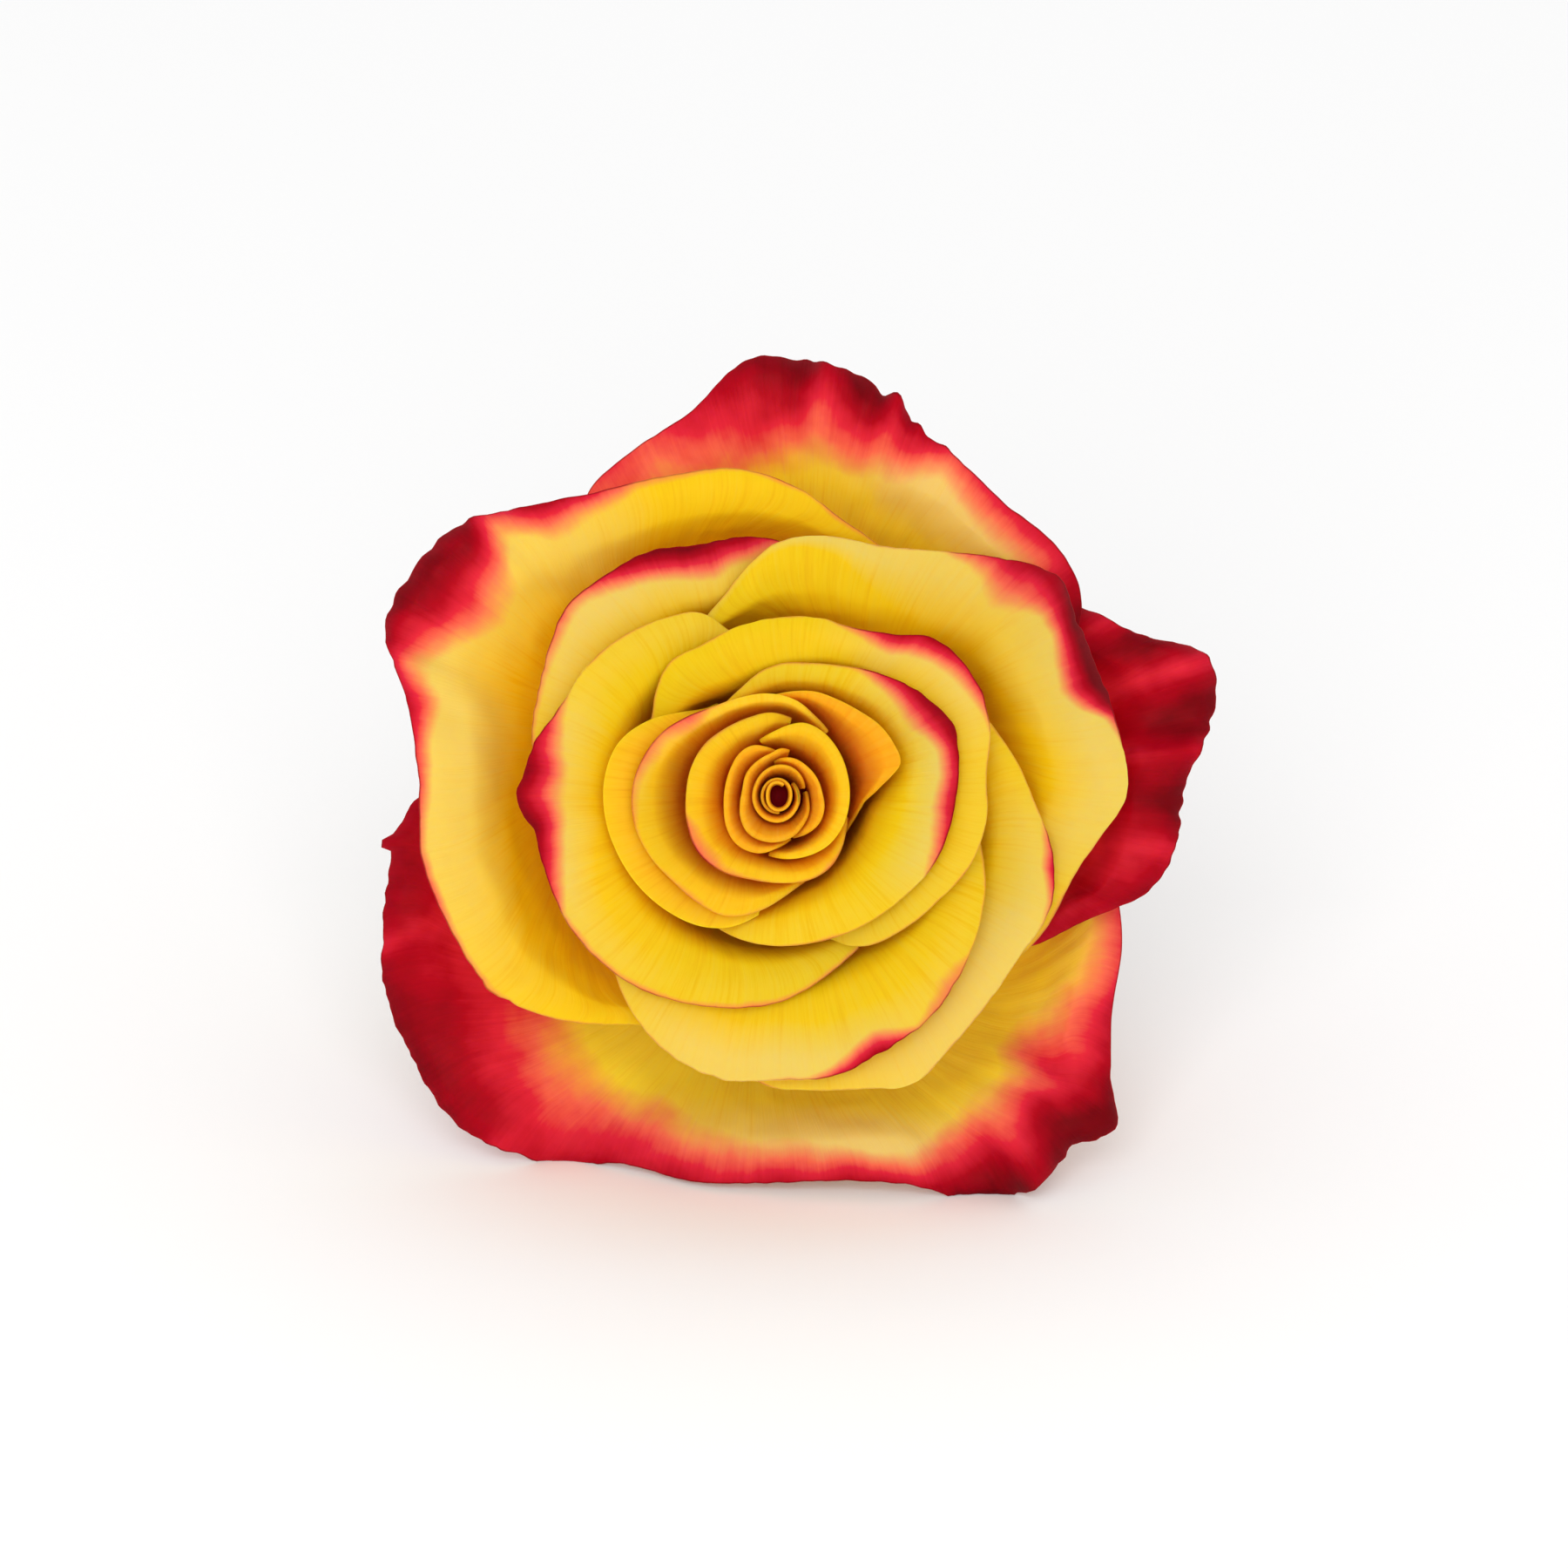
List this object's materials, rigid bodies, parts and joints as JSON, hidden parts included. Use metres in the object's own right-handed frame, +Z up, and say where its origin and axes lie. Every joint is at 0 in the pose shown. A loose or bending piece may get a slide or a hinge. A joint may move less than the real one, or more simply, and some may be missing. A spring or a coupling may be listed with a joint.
{
  "type": "cut rose",
  "caption": "Fully open cut rose, yellow petals with red margins and dark red guards, on a short bare stem, lying on a surface.",
  "frame": {"origin": "middle of the outline on the surface that the rose lies on", "axes": "+Z up, +Y from the bloom towards the cut end of the stem, +X to the right for an eye that looks into the bloom"},
  "size_m": [0.0962, 0.1314, 0.0919],
  "materials": {
    "guard_petal": "velvety crimson petal with fine veins",
    "petal": "soft satin yellow petal with a red margin",
    "heart_petal": "soft satin orange-yellow petal",
    "calyx": "matt green sepals and waxy hip",
    "stem": "smooth waxy green bark with brown prickles"
  },
  "bodies": {
    "root": {"guard_petal_bottom": "guard_petal", "guard_petal_right": "guard_petal", "guard_petal_top": "guard_petal", "outer_petal_left": "petal", "outer_petal_right": "petal", "middle_petal_left": "petal", "middle_petal_right": "petal", "cup_petal_bottom": "petal", "cup_petal_left": "petal", "cup_petal_right": "petal", "inner_petal_left": "petal", "inner_petal_right": "petal", "heart_petal_left": "heart_petal", "heart_petal_right": "heart_petal", "heart_petal_outer": "heart_petal", "heart_petal_middle": "heart_petal", "heart_scroll": "heart_petal", "calyx": "calyx", "stem": "stem"}
  },
  "joints": []
}
